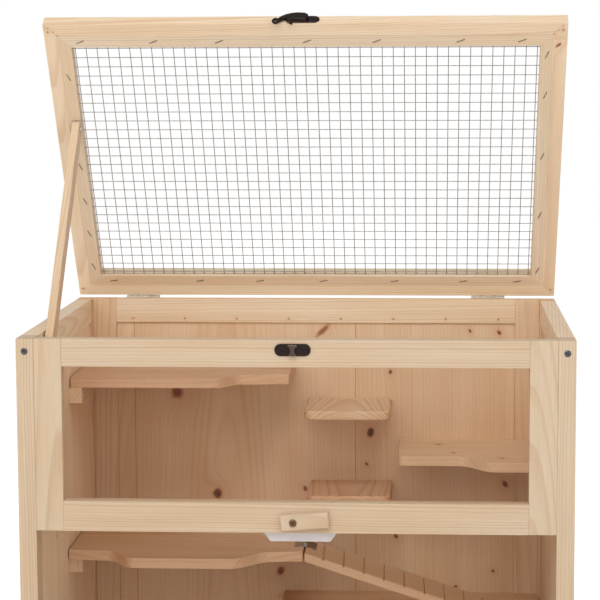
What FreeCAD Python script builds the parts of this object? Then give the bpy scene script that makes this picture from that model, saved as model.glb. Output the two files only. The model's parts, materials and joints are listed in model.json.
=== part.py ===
import FreeCAD, Part
import math
import os

Vector = FreeCAD.Vector
ORIGIN = Vector(0, 0, 0)
X_AXIS = Vector(1, 0, 0)
Y_AXIS = Vector(0, 1, 0)
Z_AXIS = Vector(0, 0, 1)

# A small-animal hutch in pine, in millimetres. X runs to the right, Y to the back and Z up.
# The origin is on the ground, under the middle of the cabinet.

# Cabinet
WIDTH = 600.0
DEPTH = 400.0
HEIGHT = 560.0
SIDE_T = 19.0               # thickness of the side frames, seen on the front as the posts
BAR_T = 16.0                # thickness of the front, back and lid frames
BAR_W = 30.0                # width of a frame bar
POST_D = 30.0               # depth of a post, front to back
FRONT = -DEPTH / 2
BACK = DEPTH / 2
IN_X = WIDTH / 2 - SIDE_T   # half the clear width between the posts
SIDE_BOARD_T = 9.0
SIDE_BOARD_INSET = 2.0
WALL_X = IN_X + SIDE_BOARD_INSET
BACK_BOARD_T = 8.0
BACK_BOARD_INSET = 3.0
BACK_BOARD_Y = BACK - BAR_T + BACK_BOARD_INSET
FLOOR_T = 9.0

# Front window
WINDOW_H = 210.0
WINDOW_SILL_W = 33.0        # width of the window's bottom rail
PANE_T = 2.0
PANE_GROOVE = 5.0
PANE_Y = FRONT + BAR_T / 2

# Drop-down door below the window
DOOR_GAP = 2.0
DOOR_SIDE_GAP = 0.8
DOOR_T = 15.5
DOOR_OPEN = 95.0            # degrees, free edge just above the ground
STOP_TAB_W = 79.0
STOP_TAB_DROP = 13.0
STOP_TAB_H = 26.0
STOP_TAB_T = 2.0
STOP_TAB_CORNER = (7.0, 9.0)  # how far each lower corner is cut, across and up
STOP_TAB_X = 4.9

# Lid
LID_GAP = 1.0
LID_OPEN = 57.0             # degrees at rest
LID_RAIL_W = 31.0
LID_Z = HEIGHT + LID_GAP
LID_TOP = LID_Z + BAR_T
BATTEN_W = 15.0
BATTEN_T = 4.2
REBATE_T = 6.0
LID_IN_X = WIDTH / 2 - BAR_W
LID_IN_Y = DEPTH / 2 - LID_RAIL_W
MESH_PITCH = 12.7
WIRE_R = 0.45
WIRE_LAP = 13.0             # how far a wire runs under a batten
STAPLE_L = 10.0
STAPLE_W = 0.9
STAPLE_RISE = 0.5
STAPLE_LEG = 3.0
STAPLE_SLANT = 22.0
FRONT_STAPLES = (-259, -174, -98, 3, 83, 179, 249)
REAR_STAPLES = (-254, -145, -69, 11, 100, 186, 253)
LEFT_STAPLES = (328, 200, 148, 98, 46)      # distance from the lid's hinge edge
RIGHT_STAPLES = (357, 302, 215, 127, 41)

# Butt hinges, with the pin lying off the face that the leaves are screwed to
PIN_OFF = 2.5
LEAF_T = 1.2
BARREL_R = 2.2
PIN_R = 1.1
PIN_PLAY = 0.05
KNUCKLES = 5
KNUCKLE_GAP = 0.3
LEAF_CLEAR = 0.5
LEAF_W = 13.5
LID_HINGE_L = 42.0
LID_HINGE_X = (-219.0, 217.0)
DOOR_HINGE_L = 42.0
DOOR_HINGE_X = (-200.0, 200.0)
RAMP_HINGE_L = 32.0
RAMP_HINGE_Y = 32.0

# Prop stick, hung from the lid's left bar
PROP_T = 9.0
PROP_W = 20.0
PROP_L = 303.0
PROP_X = -278.5             # its outer face
PROP_FROM_HINGE = 262.0
PROP_DROP = 12.0            # its pivot below the lid's inner face
PROP_LEAN = 39.4            # degrees forward of plumb at rest
PROP_PIN_R = 1.5
PROP_HEAD_R = 3.2
PROP_HEAD_T = 1.2
BRACKET_T = 1.0
BRACKET_W = 14.0
BRACKET_GAP = 1.0

# Hook latch
LATCH_X = -1.5
PLATE_L = 39.0
PLATE_W = 13.4
PLATE_T = 1.5
CATCH_DROP = 10.9           # the stud below the cabinet's top edge
HOOK_T = 1.8
HOOK_GAP = 0.3
HOOK_RING_R = 5.6
HOOK_MOUTH_R = 3.2
HOOK_HUB_R = 6.2
HOOK_ARM_W = 8.0
HOOK_KNOB_R = 4.4
HOOK_KNOB_OUT = 10.5
HOOK_KNOB_DROP = 7.0
HOOK_NECK_W = 4.0
HOOK_CLAW = 3.0
RIVET_R = 1.6
RIVET_HEAD_R = 3.0
STUD_R = 2.2
STUD_HEAD_R = 4.6
STUD_HEAD_T = 1.8

# Wooden turn-button on the window's bottom rail
BUTTON_L = 52.0
BUTTON_W = 18.0
BUTTON_T = 9.0
BUTTON_TILT = 4.7
BUTTON_LEFT = 13.5          # from its screw to its left end
BUTTON_X = -1.5
BUTTON_Z = HEIGHT - 197.0
BUTTON_LIFT = 0.3
BUTTON_EDGE = 1.2
SCREW_R = 2.0
SCREW_HEAD_R = 4.0
SCREW_HEAD_T = 2.2
SCREW_HEAD_EDGE = 1.0
SCREW_PLAY = 0.06
SCREW_BITE = 10.0

# Screws through the posts into the side rails
POST_SCREW_X = 290.6
POST_SCREW_DROP = 13.7
POST_SCREW_L = 50.0
POST_SCREW_PROUD = 0.3

# Shelves, measured down from the cabinet's top edge to their upper faces
SHELF_T = 12.0
SHELF_GAP = 1.5
UPPER_LEFT_DROP = 76.0
UPPER_STEP_DROP = 126.0
MIDDLE_RIGHT_DROP = 177.3
LOWER_STEP_DROP = 231.0
MIDDLE_LEFT_DROP = 277.5
LOWER_RIGHT_DROP = 375.0
UPPER_STEP_X = (-8.5, 96.5)
LOWER_STEP_X = (-5.5, 97.5)
STEP_FRONT = 89.5
STEP_CORNER = 11.0
CLEAT_W = 16.0
CLEAT_H = 18.0
CLEATS = (                  # side, front end, drop of the shelf it carries
    (-1, 15.0, UPPER_LEFT_DROP),
    (-1, 2.0, MIDDLE_LEFT_DROP),
    (1, 46.0, MIDDLE_RIGHT_DROP),
    (1, -34.0, LOWER_RIGHT_DROP),
)

# Corners along the shelves' front edges, across and back; an S-curve joins each marked pair
UPPER_LEFT_WALL = 21.0
UPPER_LEFT_CURVE = ((-110.0, 21.0), (-78.0, 49.0))
UPPER_LEFT_END = (-24.0, 55.0)
MIDDLE_LEFT_WALL = -8.0
MIDDLE_LEFT_CURVE = ((-236.0, -12.0), (-198.0, -46.0))
MIDDLE_LEFT_NECK = ((-89.0, -46.0), (-38.0, -10.0))
MIDDLE_LEFT_END = -6.0
MIDDLE_RIGHT_LEFT = 107.0
MIDDLE_RIGHT_CURVE = ((178.0, 71.0), (224.0, 34.0))
MIDDLE_RIGHT_CORNER = 8.0
LOWER_RIGHT_CURVE = ((20.0, -8.0), (75.0, -46.0))
LOWER_RIGHT_CORNER = 4.0
ARC_MIDDLE = 1 - math.sqrt(0.5)

# Ramps
RAMP_T = 10.0
RAMP_Y = (-12.5, 61.0)
RAMP_REST_GAP = 0.5
RAMP_START = 1.5            # from the hinge pin to the ramp's near edge
SHELF_END = 2.0             # from the hinge pin to the shelf's end
UPPER_RAMP_L = 281.0
LOWER_RAMP_L = 231.0
UPPER_PIN_X = -2.2
LOWER_PIN_X = -41.5
GROOVE_PITCH = 25.0
GROOVE_FIRST = 21.5
GROOVE_SKEW = 1.6           # degrees off square
GROOVE_W = 1.5
GROOVE_D = 2.0


def block(x0, x1, y0, y1, z0, z1):
    return Part.makeBox(x1 - x0, y1 - y0, z1 - z0, Vector(x0, y0, z0))


def rod(radius, start, end):
    """A round bar from one point to another."""
    run = end - start
    return Part.makeCylinder(radius, run.Length, start, run)


def slab(edges, lift):
    """A flat outline, given as edges in order, raised along a vector."""
    return Part.Face(Part.Wire(edges)).extrude(lift)


def polygon(points, lift):
    return Part.Face(Part.makePolygon(points + points[:1])).extrude(lift)


def line(a, b):
    return Part.LineSegment(a, b).toShape()


def ogee(a, b, lean):
    """An S-shaped edge from a to b that leaves and arrives along X."""
    curve = Part.BezierCurve()
    curve.setPoles([a, Vector(a.x + lean, a.y, a.z), Vector(b.x - lean, b.y, b.z), b])
    return curve.toShape()


def obround(length, width, thickness):
    """A plate with round ends, lying along X in the XZ plane, its back on Y = 0, facing -Y."""
    reach = (length - width) / 2
    plate = block(-reach, reach, -thickness, 0, -width / 2, width / 2)
    for x in (-reach, reach):
        plate = plate.fuse(rod(width / 2, Vector(x, 0, 0), Vector(x, -thickness, 0)))
    return plate.removeSplitter()


def moved(shape, x=0.0, y=0.0, z=0.0):
    copy = shape.copy()
    copy.translate(Vector(x, y, z))
    return copy


def turned(shape, point, axis, degrees):
    copy = shape.copy()
    copy.rotate(point, axis, degrees)
    return copy


def mirrored(shape):
    """The same piece on the other side of the cabinet."""
    return shape.mirror(ORIGIN, X_AXIS)


def group(shapes):
    return Part.makeCompound(shapes)


# Hinges. Each is made with its pin along X at the origin, the screwed face at Y = -PIN_OFF,
# its fixed leaf below the pin and its moving leaf above.

def knuckle_spans(length, first):
    pitch = length / KNUCKLES
    half = length / 2
    return [
        (i * pitch - half + KNUCKLE_GAP / 2, (i + 1) * pitch - half - KNUCKLE_GAP / 2)
        for i in range(first, KNUCKLES, 2)
    ]


def leaf(length, side, first, bore):
    """One hinge leaf. side is -1 below the pin or 1 above it; first is its first knuckle."""
    near = side * (BARREL_R + LEAF_CLEAR)
    far = side * LEAF_W
    face = -PIN_OFF
    plate = block(-length / 2, length / 2, face, face + LEAF_T, min(near, far), max(near, far))
    for x0, x1 in knuckle_spans(length, first):
        plate = plate.fuse(rod(BARREL_R, Vector(x0, 0, 0), Vector(x1, 0, 0)))
        plate = plate.fuse(block(x0, x1, face, face + LEAF_T, min(0, near), max(0, near)))
    hole = rod(bore, Vector(-length, 0, 0), Vector(length, 0, 0))
    return plate.cut(hole).removeSplitter()


def fixed_leaf(length):
    return leaf(length, -1, 0, PIN_R)


def moving_leaf(length):
    return leaf(length, 1, 1, PIN_R + PIN_PLAY)


def hinge_pin(length):
    return rod(PIN_R, Vector(-length / 2, 0, 0), Vector(length / 2, 0, 0))


LID_PIN = Vector(0, BACK + PIN_OFF, HEIGHT + LID_GAP / 2)
SILL_TOP = BAR_W
DOOR_PIN = Vector(0, FRONT - PIN_OFF, SILL_TOP + DOOR_GAP / 2)
UPPER_PIN = Vector(UPPER_PIN_X, 0, HEIGHT - MIDDLE_LEFT_DROP + PIN_OFF)
LOWER_PIN = Vector(LOWER_PIN_X, 0, HEIGHT - LOWER_RIGHT_DROP + PIN_OFF)


def opened(shape):
    """A lid piece, made with the lid shut, turned to where it rests."""
    return turned(shape, LID_PIN, X_AXIS, -LID_OPEN)


def dropped(shape):
    """A door piece, made with the door shut, turned to where it rests."""
    return turned(shape, DOOR_PIN, X_AXIS, DOOR_OPEN)


def at_lid_hinges(shape):
    return [moved(shape, x, LID_PIN.y, LID_PIN.z) for x in LID_HINGE_X]


def at_door_hinges(shape):
    facing = turned(shape, ORIGIN, Z_AXIS, 180)
    return [moved(facing, x, DOOR_PIN.y, DOOR_PIN.z) for x in DOOR_HINGE_X]


def at_ramp_hinge(shape, pin, to_left):
    """A ramp hinge lies along Y, with its moving leaf to the right, or to the left."""
    lying = turned(shape, ORIGIN, Vector(1, 1, 1), 120)
    if to_left:
        lying = turned(lying, ORIGIN, Z_AXIS, 180)
    return moved(lying, pin.x, RAMP_HINGE_Y, pin.z)


# Fasteners

def front_screw(x, y, z, length):
    """A pan-head screw driven in from the front, its head's underside at y."""
    shank = rod(SCREW_R, Vector(x, y, z), Vector(x, y + length, z))
    head = rod(SCREW_HEAD_R, Vector(x, y - SCREW_HEAD_T, z), Vector(x, y, z))
    rim = [e for e in head.Edges if e.BoundBox.YMax < y - SCREW_HEAD_T / 2]
    head = head.makeFillet(SCREW_HEAD_EDGE, rim)
    return head.fuse(shank).removeSplitter()


def post_screws():
    head_back = FRONT + SCREW_HEAD_T - POST_SCREW_PROUD
    drops = (HEIGHT - POST_SCREW_DROP, POST_SCREW_DROP)
    return [
        front_screw(side * POST_SCREW_X, head_back, z, POST_SCREW_L)
        for side in (-1, 1)
        for z in drops
    ]


def button_screw():
    face = FRONT - BUTTON_LIFT - BUTTON_T - BUTTON_LIFT
    reach = SCREW_BITE + BUTTON_T + 2 * BUTTON_LIFT
    return front_screw(BUTTON_X, face, BUTTON_Z, reach)


def staple(x, y, slant):
    """A wire staple across a batten of the shut lid, crown down, legs up into the wood."""
    half = STAPLE_L / 2
    thick = STAPLE_W / 2
    crown = block(-half, half, -thick, thick, -STAPLE_RISE, 0)
    for side in (-1, 1):
        edge = side * (half - thick)
        crown = crown.fuse(block(edge - thick, edge + thick, -thick, thick, 0, STAPLE_LEG))
    crown = crown.removeSplitter()
    return moved(turned(crown, ORIGIN, Z_AXIS, slant), x, y, LID_Z)


def staples():
    mid_x = LID_IN_X + BATTEN_W / 2
    mid_y = LID_IN_Y + BATTEN_W / 2
    rows = [staple(x, -mid_y, -STAPLE_SLANT) for x in FRONT_STAPLES]
    rows += [staple(x, mid_y, -STAPLE_SLANT / 2) for x in REAR_STAPLES]
    rows += [staple(-mid_x, BACK - s, 90 - STAPLE_SLANT) for s in LEFT_STAPLES]
    rows += [staple(mid_x, BACK - s, 90 + STAPLE_SLANT) for s in RIGHT_STAPLES]
    return rows


# Cabinet frame

def cabinet_frame():
    screws = group(post_screws())
    low_x = -WIDTH / 2
    post = block(low_x, -IN_X, FRONT, FRONT + POST_D, 0, HEIGHT)
    rear_post = block(low_x, -IN_X, BACK - POST_D, BACK, 0, HEIGHT)
    rail = block(low_x, -IN_X, FRONT + POST_D, BACK - POST_D, HEIGHT - BAR_W, HEIGHT)
    foot_rail = moved(rail, z=BAR_W - HEIGHT)
    board_x = -WALL_X - SIDE_BOARD_T
    board = block(board_x, -WALL_X, FRONT + POST_D, BACK - POST_D, BAR_W, HEIGHT - BAR_W)
    parts = {}
    for name, shape in (
        ("post_front", post),
        ("post_rear", rear_post),
        ("side_top_rail", rail),
        ("side_bottom_rail", foot_rail),
        ("side_board", board),
    ):
        parts[name + "_left"] = shape.cut(screws)
        parts[name + "_right"] = mirrored(shape).cut(screws)
    parts["post_screws"] = screws
    return parts


def cabinet_back():
    inner = BACK - BAR_T
    stile = block(-IN_X, BAR_W - IN_X, inner, BACK, 0, HEIGHT)
    reach = IN_X - BAR_W
    top_rail = block(-reach, reach, inner, BACK, HEIGHT - BAR_W, HEIGHT)
    return {
        "back_stile_left": stile,
        "back_stile_right": mirrored(stile),
        "back_top_rail": top_rail,
        "back_bottom_rail": moved(top_rail, z=BAR_W - HEIGHT),
        "back_board": block(
            -reach, reach, BACK_BOARD_Y, BACK_BOARD_Y + BACK_BOARD_T, BAR_W, HEIGHT - BAR_W
        ),
    }


def glazed_frame(name, half, low, high, sill_w, thick, hole=None):
    """Four bars round a clear pane that sits in a groove in their inner edges."""
    y0, y1 = FRONT, FRONT + thick
    reach = half - BAR_W
    pane = block(
        -reach - PANE_GROOVE,
        reach + PANE_GROOVE,
        PANE_Y - PANE_T / 2,
        PANE_Y + PANE_T / 2,
        low + sill_w - PANE_GROOVE,
        high - BAR_W + PANE_GROOVE,
    )
    stile = block(-half, -reach, y0, y1, low, high)
    parts = {
        "stile_left": stile,
        "stile_right": mirrored(stile),
        "top_rail": block(-reach, reach, y0, y1, high - BAR_W, high),
        "bottom_rail": block(-reach, reach, y0, y1, low, low + sill_w),
    }
    cutter = group([pane, hole]) if hole else pane
    framed = {name + "_" + key: bar.cut(cutter) for key, bar in parts.items()}
    framed[name + "_pane"] = pane
    return framed


def window():
    low = HEIGHT - WINDOW_H
    return glazed_frame("window", IN_X, low, HEIGHT, WINDOW_SILL_W, BAR_T, button_screw())


def door():
    low = SILL_TOP + DOOR_GAP
    high = HEIGHT - WINDOW_H - DOOR_GAP
    parts = glazed_frame("door", IN_X - DOOR_SIDE_GAP, low, high, WINDOW_SILL_W, DOOR_T)
    parts["door_hinge_leaves"] = group(at_door_hinges(moving_leaf(DOOR_HINGE_L)))
    return {name: dropped(shape) for name, shape in parts.items()}


def door_stop_tab():
    """A white plastic tab with clipped lower corners, hanging below the window's bottom rail."""
    low = HEIGHT - WINDOW_H - STOP_TAB_DROP
    y = FRONT + BAR_T
    left = STOP_TAB_X - STOP_TAB_W / 2
    right = STOP_TAB_X + STOP_TAB_W / 2
    across, up = STOP_TAB_CORNER
    outline = [
        (left, low + STOP_TAB_H),
        (left, low + up),
        (left + across, low),
        (right - across, low),
        (right, low + up),
        (right, low + STOP_TAB_H),
    ]
    return polygon([Vector(x, y, z) for x, z in outline], Vector(0, STOP_TAB_T, 0))


def turn_button():
    face = FRONT - BUTTON_LIFT
    half = BUTTON_W / 2
    shape = block(
        BUTTON_X - BUTTON_LEFT,
        BUTTON_X - BUTTON_LEFT + BUTTON_L,
        face - BUTTON_T,
        face,
        BUTTON_Z - half,
        BUTTON_Z + half,
    )
    shape = shape.makeChamfer(
        BUTTON_EDGE, [e for e in shape.Edges if e.BoundBox.YMax < face - BUTTON_T / 2]
    )
    start = Vector(BUTTON_X, 0, BUTTON_Z)
    shape = shape.cut(rod(SCREW_R + SCREW_PLAY, Vector(BUTTON_X, FRONT * 2, BUTTON_Z), start))
    return turned(shape, start, Y_AXIS, -BUTTON_TILT)


# Shelves. Each outline runs round its upper face and is then thickened downwards.

def shelf(edges):
    return slab(edges, Vector(0, 0, -SHELF_T))


def left_shelf(front_edges, right_x, drop):
    """A shelf against the left wall; front_edges run from the wall to its right end."""
    z = HEIGHT - drop
    wall = SHELF_GAP - WALL_X
    first = front_edges[0].Vertexes[0].Point
    last = front_edges[-1].Vertexes[-1].Point
    edges = [line(Vector(wall, BACK_BOARD_Y, z), first)]
    edges += front_edges
    edges.append(line(last, Vector(right_x, BACK_BOARD_Y, z)))
    edges.append(line(Vector(right_x, BACK_BOARD_Y, z), Vector(wall, BACK_BOARD_Y, z)))
    return shelf(edges)


def shelf_upper_left():
    z = HEIGHT - UPPER_LEFT_DROP
    wall = Vector(SHELF_GAP - WALL_X, UPPER_LEFT_WALL, z)
    bend, step = (Vector(*point, z) for point in UPPER_LEFT_CURVE)
    end = Vector(*UPPER_LEFT_END, z)
    edges = [line(wall, bend), ogee(bend, step, 14), line(step, end)]
    return left_shelf(edges, end.x, UPPER_LEFT_DROP)


def shelf_middle_left():
    z = HEIGHT - MIDDLE_LEFT_DROP
    wall = Vector(SHELF_GAP - WALL_X, MIDDLE_LEFT_WALL, z)
    swell, bow = (Vector(*point, z) for point in MIDDLE_LEFT_CURVE)
    bend, neck = (Vector(*point, z) for point in MIDDLE_LEFT_NECK)
    end = Vector(UPPER_PIN_X - SHELF_END, MIDDLE_LEFT_END, z)
    edges = [
        line(wall, swell),
        ogee(swell, bow, 16),
        line(bow, bend),
        ogee(bend, neck, 22),
        line(neck, end),
    ]
    return left_shelf(edges, end.x, MIDDLE_LEFT_DROP)


def right_shelf(left_x, curve, corner, drop):
    """A shelf against the right wall, with a rounded front left corner and an S-shaped front."""
    z = HEIGHT - drop
    wall = WALL_X - SHELF_GAP
    start, finish = (Vector(*point, z) for point in curve)
    back = Vector(left_x, BACK_BOARD_Y, z)
    left = Vector(left_x, start.y + corner, z)
    turn = Vector(left_x + corner * ARC_MIDDLE, start.y + corner * ARC_MIDDLE, z)
    front = Vector(left_x + corner, start.y, z)
    side = Vector(wall, finish.y, z)
    far = Vector(wall, BACK_BOARD_Y, z)
    return shelf(
        [
            line(back, left),
            Part.Arc(left, turn, front).toShape(),
            line(front, start),
            ogee(start, finish, 18),
            line(finish, side),
            line(side, far),
            line(far, back),
        ]
    )


def small_step(span, drop):
    z = HEIGHT - drop
    x0, x1 = span
    shape = block(x0, x1, STEP_FRONT, BACK_BOARD_Y, z - SHELF_T, z)
    corners = [
        e
        for e in shape.Edges
        if e.BoundBox.ZLength > SHELF_T / 2 and e.BoundBox.YMax < STEP_FRONT + 1
    ]
    return shape.makeFillet(STEP_CORNER, corners)


def cleat(side, front_y, drop):
    """A batten on a side wall, under a shelf's end."""
    top = HEIGHT - drop - SHELF_T
    shape = block(-WALL_X, CLEAT_W - WALL_X, front_y, BACK - POST_D, top - CLEAT_H, top)
    return shape if side < 0 else mirrored(shape)


def shelves(frame):
    """Every shelf, notched round the posts and stiles at the back corners."""
    corners = group(
        [frame[n + s] for n in ("post_rear", "back_stile") for s in ("_left", "_right")]
    )
    parts = {
        "shelf_upper_left": shelf_upper_left(),
        "shelf_middle_left": shelf_middle_left(),
        "shelf_middle_right": right_shelf(
            MIDDLE_RIGHT_LEFT, MIDDLE_RIGHT_CURVE, MIDDLE_RIGHT_CORNER, MIDDLE_RIGHT_DROP
        ),
        "shelf_lower_right": right_shelf(
            LOWER_PIN_X + SHELF_END, LOWER_RIGHT_CURVE, LOWER_RIGHT_CORNER, LOWER_RIGHT_DROP
        ),
    }
    parts = {name: shape.cut(corners) for name, shape in parts.items()}
    parts["step_upper"] = small_step(UPPER_STEP_X, UPPER_STEP_DROP)
    parts["step_lower"] = small_step(LOWER_STEP_X, LOWER_STEP_DROP)
    parts["shelf_cleats"] = group([cleat(*place) for place in CLEATS])
    return parts


# Ramps

def ramp_angle(length, drop):
    """The slope at which a ramp's far lower corner just clears what it rests on."""
    reach = RAMP_START + length
    depth = RAMP_T + PIN_OFF
    fall = drop + PIN_OFF - RAMP_REST_GAP
    return math.degrees(math.asin(fall / math.hypot(reach, depth)) - math.atan(depth / reach))


def ramp_board(length, angle):
    """A grooved ramp, made level to the right of its pin, its near end upright once it slopes."""
    top = -PIN_OFF
    low = top - RAMP_T
    near = RAMP_START
    far = RAMP_START + length
    y0, y1 = RAMP_Y
    lean = RAMP_T * math.tan(math.radians(angle))
    outline = [(near, top), (far, top), (far, low), (near + lean, low)]
    board = polygon([Vector(x, y0, z) for x, z in outline], Vector(0, y1 - y0, 0))
    count = int((length - GROOVE_FIRST) // GROOVE_PITCH) + 1
    grooves = []
    for i in range(count):
        x = near + GROOVE_FIRST + i * GROOVE_PITCH
        groove = block(x, x + GROOVE_W, y0 - 1, y1 + 1, top - GROOVE_D, top + 1)
        grooves.append(turned(groove, Vector(x, (y0 + y1) / 2, 0), Z_AXIS, GROOVE_SKEW))
    return board.cut(group(grooves))


def ramp(name, pin, length, drop, to_left):
    """A ramp, its hinge leaf, and the leaf on the shelf that it hangs from."""
    angle = ramp_angle(length, drop)
    swing = -angle if to_left else angle
    board = ramp_board(length, angle)
    if to_left:
        y_mid = sum(RAMP_Y)
        board = moved(turned(board, ORIGIN, Z_AXIS, 180), y=y_mid)
    board = moved(board, pin.x, 0, pin.z)
    plate = at_ramp_hinge(moving_leaf(RAMP_HINGE_L), pin, to_left)
    print(name, "slopes at", round(angle, 2), "degrees")
    return {
        name: turned(board, pin, Y_AXIS, swing),
        name + "_hinge_leaf": turned(plate, pin, Y_AXIS, swing),
    }


def ramps():
    parts = ramp(
        "upper_ramp", UPPER_PIN, UPPER_RAMP_L, LOWER_RIGHT_DROP - MIDDLE_LEFT_DROP, False
    )
    drop = HEIGHT - LOWER_RIGHT_DROP - FLOOR_T
    parts.update(ramp("lower_ramp", LOWER_PIN, LOWER_RAMP_L, drop, True))
    return parts


def fixed_hinge_leaves():
    ramp_leaf = fixed_leaf(RAMP_HINGE_L)
    pins = at_lid_hinges(hinge_pin(LID_HINGE_L)) + at_door_hinges(hinge_pin(DOOR_HINGE_L))
    for pin, to_left in ((UPPER_PIN, False), (LOWER_PIN, True)):
        pins.append(at_ramp_hinge(hinge_pin(RAMP_HINGE_L), pin, to_left))
    return {
        "lid_hinge_fixed_leaves": group(at_lid_hinges(fixed_leaf(LID_HINGE_L))),
        "door_hinge_fixed_leaves": group(at_door_hinges(fixed_leaf(DOOR_HINGE_L))),
        "ramp_hinge_fixed_leaves": group(
            [
                at_ramp_hinge(ramp_leaf, UPPER_PIN, False),
                at_ramp_hinge(ramp_leaf, LOWER_PIN, True),
            ]
        ),
        "hinge_pins": group(pins),
    }


# Lid, made shut and then opened

def mitred_frame(outer, inner, thickness):
    """Four bars with mitred ends between two rectangles: front, right, rear and left."""
    signs = ((-1, -1), (1, -1), (1, 1), (-1, 1))
    bars = []
    for i, here in enumerate(signs):
        there = signs[(i + 1) % 4]
        places = ((outer, here), (outer, there), (inner, there), (inner, here))
        corners = [Vector(sx * x, sy * y, LID_Z) for (x, y), (sx, sy) in places]
        bars.append(polygon(corners, Vector(0, 0, thickness)))
    return bars


STEP_REACH = (LID_IN_X + BATTEN_W, LID_IN_Y + BATTEN_W)


def lid_bars():
    """The lid's frame, with a step round the opening for the mesh and its battens."""
    x, y = STEP_REACH
    step = block(-x, x, -y, y, LID_Z - 1, LID_Z + REBATE_T)
    names = ("lid_front_rail", "lid_stile_right", "lid_rear_rail", "lid_stile_left")
    bars = mitred_frame((WIDTH / 2, DEPTH / 2), (LID_IN_X, LID_IN_Y), BAR_T)
    return {name: bar.cut(step) for name, bar in zip(names, bars)}


def lid_battens():
    strips = mitred_frame(STEP_REACH, (LID_IN_X, LID_IN_Y), BATTEN_T)
    return group([strip.cut(group(staples())) for strip in strips])


def spread(reach):
    """Wire places either side of the middle, one mesh pitch apart."""
    count = int(reach // MESH_PITCH)
    return [i * MESH_PITCH for i in range(-count, count + 1)]


def lid_mesh():
    """Two layers of straight wires that touch where they cross."""
    reach_x = LID_IN_X + WIRE_LAP
    reach_y = LID_IN_Y + WIRE_LAP
    upper = LID_Z + REBATE_T - WIRE_R
    lower = upper - 2 * WIRE_R
    wires = [
        rod(WIRE_R, Vector(x, -reach_y, upper), Vector(x, reach_y, upper))
        for x in spread(LID_IN_X + BATTEN_W / 2)
    ]
    wires += [
        rod(WIRE_R, Vector(-reach_x, y, lower), Vector(reach_x, y, lower))
        for y in spread(LID_IN_Y + BATTEN_W / 2)
    ]
    return group(wires)


PROP_PIVOT = Vector(PROP_X, BACK - PROP_FROM_HINGE, LID_Z - PROP_DROP)


def prop_bracket():
    """An angle plate under the lid's left bar with the pin that the stick hangs on."""
    y, z = PROP_PIVOT.y, PROP_PIVOT.z
    half = BRACKET_W / 2
    ear_x = PROP_X - BRACKET_GAP - BRACKET_T
    plate = block(ear_x, PROP_X + PROP_T, y - half, y + half, LID_Z - BRACKET_T, LID_Z)
    ear = block(ear_x, ear_x + BRACKET_T, y - half, y + half, z - half, LID_Z)
    head_x = PROP_X + PROP_T + KNUCKLE_GAP
    pin = rod(PROP_PIN_R, Vector(ear_x, y, z), Vector(head_x, y, z))
    head = rod(PROP_HEAD_R, Vector(head_x, y, z), Vector(head_x + PROP_HEAD_T, y, z))
    return plate.fuse([ear, pin, head]).removeSplitter()


def prop_stick():
    """The stick, hung plumb from its pivot and then leaned forward to where it rests."""
    pivot = turned(Part.Vertex(PROP_PIVOT), LID_PIN, X_AXIS, -LID_OPEN).Point
    half = PROP_W / 2
    x0, x1 = PROP_X, PROP_X + PROP_T
    stick = block(x0, x1, pivot.y - half, pivot.y + half, pivot.z - PROP_L, pivot.z)
    stick = stick.fuse(rod(half, Vector(x0, pivot.y, pivot.z), Vector(x1, pivot.y, pivot.z)))
    hole = rod(
        PROP_PIN_R + PIN_PLAY, Vector(x0 - 1, pivot.y, pivot.z), Vector(x1 + 1, pivot.y, pivot.z)
    )
    return turned(stick.removeSplitter().cut(hole), pivot, X_AXIS, -PROP_LEAN)


# Latch, made with the lid shut. The hook points left until it is swung down over the stud.

LATCH_PIVOT = Vector(LATCH_X, FRONT, LID_Z + BAR_T / 2)
STUD = Vector(LATCH_X, FRONT, HEIGHT - CATCH_DROP)
HOOK_REACH = LATCH_PIVOT.z - STUD.z


def latch_plate():
    plate = moved(obround(PLATE_L, PLATE_W, PLATE_T), LATCH_PIVOT.x, FRONT, LATCH_PIVOT.z)
    x, z = LATCH_PIVOT.x, LATCH_PIVOT.z
    over = FRONT - PLATE_T - HOOK_T - 2 * HOOK_GAP
    post = rod(RIVET_R, Vector(x, FRONT - PLATE_T, z), Vector(x, over, z))
    cap = rod(RIVET_HEAD_R, Vector(x, over, z), Vector(x, over - 1, z))
    return plate.fuse([post, cap]).removeSplitter()


def catch_plate():
    plate = moved(obround(PLATE_L, PLATE_W, PLATE_T), STUD.x, FRONT, STUD.z)
    over = FRONT - PLATE_T - HOOK_T - 2 * HOOK_GAP
    neck = rod(STUD_R, Vector(STUD.x, FRONT - PLATE_T, STUD.z), Vector(STUD.x, over, STUD.z))
    head = rod(STUD_HEAD_R, Vector(STUD.x, over, STUD.z), Vector(STUD.x, over - STUD_HEAD_T, STUD.z))
    return plate.fuse([neck, head]).removeSplitter()


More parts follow.
